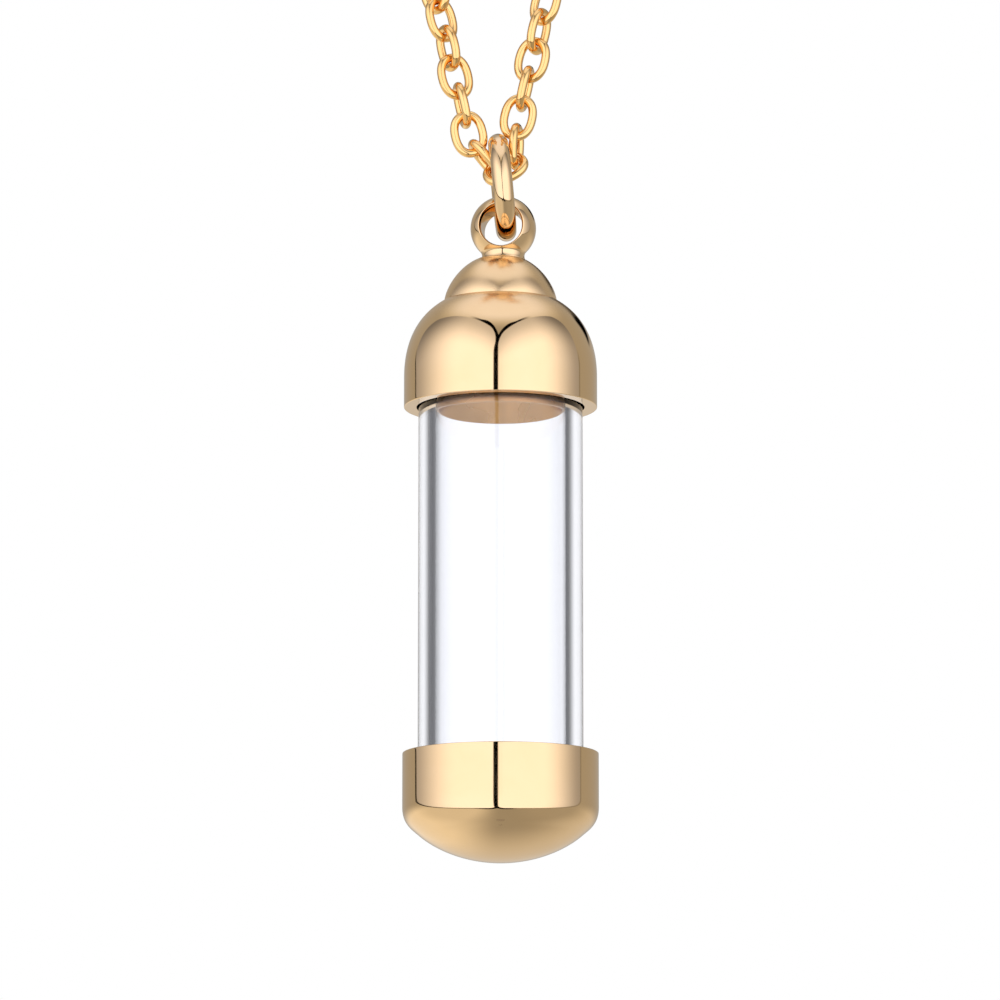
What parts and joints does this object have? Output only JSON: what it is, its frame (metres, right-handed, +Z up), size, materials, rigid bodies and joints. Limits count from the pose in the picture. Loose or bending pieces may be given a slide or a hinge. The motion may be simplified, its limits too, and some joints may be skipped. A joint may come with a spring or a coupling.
{
  "type": "sample vial pendant",
  "caption": "Glass vial with a screw-on domed top cap, a drilled ball eye, a jump ring and the ends of a cable chain with a lobster clasp.",
  "frame": {"origin": "on the tube axis, at the lower bow of the apex link, where the chain carries the pendant", "axes": "+Z up along the tube towards the chain, -Y towards the viewer of the front, +X to the viewer's right"},
  "size_m": [0.0133, 0.0106, 0.062],
  "materials": {
    "gold_polished": "mirror-polished gold plate",
    "gold_chain": "bright yellow gold plate",
    "brass_turned": "turned, unpolished",
    "glass_clear": "clear, thick-walled",
    "silicone": "soft translucent",
    "spring_steel": "bright"
  },
  "bodies": {
    "apex": {"apex_link": "gold_chain"},
    "ring": {"jump_ring": "gold_polished"},
    "cap": {"top_cap": "gold_polished", "bail_eye": "gold_polished", "cap_liner": "silicone"},
    "seal": {"neck_o_ring": "silicone"},
    "vial": {"glass_tube": "glass_clear", "neck_collar": "brass_turned", "bottom_cap": "gold_polished", "base_cushion": "silicone"},
    "right_link_1": {"right_link_1": "gold_chain"},
    "right_link_2": {"right_link_2": "gold_chain"},
    "right_link_3": {"right_link_3": "gold_chain"},
    "right_link_4": {"right_link_4": "gold_chain"},
    "right_link_5": {"right_link_5": "gold_chain"},
    "right_link_6": {"right_link_6": "gold_chain"},
    "right_link_7": {"right_link_7": "gold_chain"},
    "right_link_8": {"right_link_8": "gold_chain"},
    "left_link_1": {"left_link_1": "gold_chain"},
    "left_link_2": {"left_link_2": "gold_chain"},
    "left_link_3": {"left_link_3": "gold_chain"},
    "left_link_4": {"left_link_4": "gold_chain"},
    "left_link_5": {"left_link_5": "gold_chain"},
    "left_link_6": {"left_link_6": "gold_chain"},
    "end_ring": {"end_ring": "gold_chain"},
    "clasp_ring": {"clasp_ring": "gold_chain"},
    "clasp": {"clasp_body": "gold_chain", "clasp_pin": "spring_steel", "clasp_leaf": "spring_steel"},
    "lever": {"clasp_lever": "gold_chain"}
  },
  "joints": [
    {"name": "jump_ring_swing", "type": "hinge", "parent": "apex", "child": "ring", "pos_m": [0, 0, 0.0005], "axis": [1, 0, 0], "range_deg": [-15, 15]},
    {"name": "vial_swing", "type": "hinge", "parent": "ring", "child": "cap", "pos_m": [0.00032, 0, -0.00319], "axis": [0, 1, 0], "range_deg": [-20, 20]},
    {"name": "cap_travel", "type": "slide", "parent": "cap", "child": "seal", "axis": [0, 0, -1], "range_m": [0, 0.009]},
    {"name": "cap_turn", "type": "hinge", "parent": "seal", "child": "vial", "pos_m": [0, 0, -0.00847], "axis": [0, 0, -1], "range_deg": [0, 4320]},
    {"name": "right_link_1_bend", "type": "hinge", "parent": "apex", "child": "right_link_1", "pos_m": [-0.00016, 0.00012, 0], "axis": [-0.1218, 0.992, -0.0323], "range_deg": [0, 18]},
    {"name": "right_link_2_bend", "type": "hinge", "parent": "right_link_1", "child": "right_link_2", "pos_m": [0.00123, -0.00019, 0.00072], "axis": [-0.4083, 0.564, 0.7178], "range_deg": [0, 10]},
    {"name": "right_link_3_bend", "type": "hinge", "parent": "right_link_2", "child": "right_link_3", "pos_m": [0.00092, 0, 0.00261], "axis": [0.243, 0.97, -0.0071], "range_deg": [-16, 18]},
    {"name": "right_link_4_bend", "type": "hinge", "parent": "right_link_3", "child": "right_link_4", "pos_m": [0.00122, 0, 0.00423], "axis": [0.9736, 0, -0.2283], "range_deg": [-18, 18]},
    {"name": "right_link_5_bend", "type": "hinge", "parent": "right_link_4", "child": "right_link_5", "pos_m": [0.00161, 0, 0.00586], "axis": [0.1607, 0.9863, -0.0377], "range_deg": [-18, 18]},
    {"name": "right_link_6_bend", "type": "hinge", "parent": "right_link_5", "child": "right_link_6", "pos_m": [0.00199, 0, 0.00748], "axis": [0.9205, -0.3256, -0.2159], "range_deg": [-18, 18]},
    {"name": "right_link_7_bend", "type": "hinge", "parent": "right_link_6", "child": "right_link_7", "pos_m": [0.00237, 0, 0.00911], "axis": [0.4645, 0.8788, -0.109], "range_deg": [-18, 18]},
    {"name": "right_link_8_bend", "type": "hinge", "parent": "right_link_7", "child": "right_link_8", "pos_m": [0.00275, 0, 0.01073], "axis": [0.7672, -0.6157, -0.1799], "range_deg": [-18, 18]},
    {"name": "left_link_1_bend", "type": "hinge", "parent": "apex", "child": "left_link_1", "pos_m": [-0.00155, 0, 0.00168], "axis": [-0.1218, 0.992, -0.0323], "range_deg": [-18, 10]},
    {"name": "left_link_2_bend", "type": "hinge", "parent": "left_link_1", "child": "left_link_2", "pos_m": [-0.00199, 0, 0.00329], "axis": [0.9736, 0, 0.2283], "range_deg": [-18, 18]},
    {"name": "left_link_3_bend", "type": "hinge", "parent": "left_link_2", "child": "left_link_3", "pos_m": [-0.00238, 0, 0.00492], "axis": [-0.1607, 0.9863, -0.0377], "range_deg": [-18, 18]},
    {"name": "left_link_4_bend", "type": "hinge", "parent": "left_link_3", "child": "left_link_4", "pos_m": [-0.00276, 0, 0.00654], "axis": [0.9205, 0.3256, 0.2159], "range_deg": [-18, 18]},
    {"name": "left_link_5_bend", "type": "hinge", "parent": "left_link_4", "child": "left_link_5", "pos_m": [-0.00314, 0, 0.00817], "axis": [-0.4645, 0.8788, -0.109], "range_deg": [-18, 18]},
    {"name": "left_link_6_bend", "type": "hinge", "parent": "left_link_5", "child": "left_link_6", "pos_m": [-0.00352, 0, 0.00979], "axis": [0.7672, 0.6157, 0.1799], "range_deg": [-18, 18]},
    {"name": "end_ring_turn", "type": "hinge", "parent": "left_link_6", "child": "end_ring", "pos_m": [-0.0039, 0, 0.01142], "axis": [0.7178, -0.6756, 0.1684], "range_deg": [-30, 30]},
    {"name": "clasp_ring_turn", "type": "hinge", "parent": "right_link_8", "child": "clasp_ring", "pos_m": [0.00313, 0, 0.01236], "axis": [0.7178, 0.6756, -0.1684], "range_deg": [-30, 30]},
    {"name": "clasp_turn", "type": "hinge", "parent": "clasp_ring", "child": "clasp", "pos_m": [0.00358, 0, 0.01428], "axis": [-0.6577, 0.7373, 0.1543], "range_deg": [-25, 25]},
    {"name": "clasp_lever_open", "type": "hinge", "parent": "clasp", "child": "lever", "pos_m": [0.00549, 0.00105, 0.0174], "axis": [0.6577, -0.7373, -0.1543], "range_deg": [0, 20], "stiffness_Nm_per_rad": 0.0005}
  ],
  "couplings": [
    {"joint": "cap_turn", "follows": "cap_travel", "rad_per_m": 8377.6}
  ]
}
